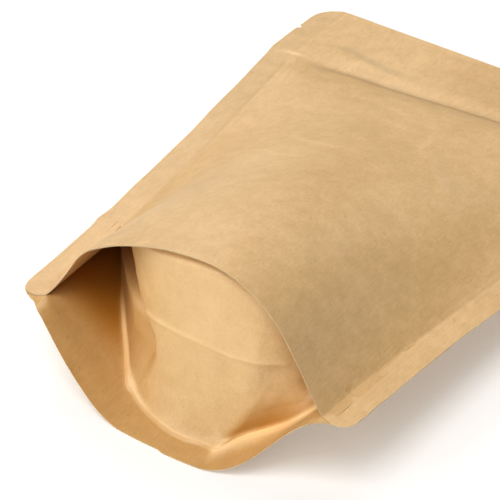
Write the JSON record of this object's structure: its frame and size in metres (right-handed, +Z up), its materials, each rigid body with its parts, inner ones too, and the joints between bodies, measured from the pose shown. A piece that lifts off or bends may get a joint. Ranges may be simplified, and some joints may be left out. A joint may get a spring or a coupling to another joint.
{
  "type": "kraft food storage bag",
  "caption": "Puffed kraft paper stand-up pouch lying on its back, with sealed sides, press-to-close zip band, tear notches and an open gusseted hollow at its bottom end.",
  "frame": {"origin": "centre of the bounding box's base, under the pouch as it lies on its back panel", "axes": "+Y from the gusseted bottom end to the header with the zip, +X across the pouch, +Z up out of the front panel"},
  "size_m": [0.14, 0.1902, 0.0564],
  "materials": {
    "kraft_paper": "uncoated natural kraft paper, slightly fibrous and matt"
  },
  "bodies": {
    "root": {"pouch": "kraft_paper"}
  },
  "joints": []
}
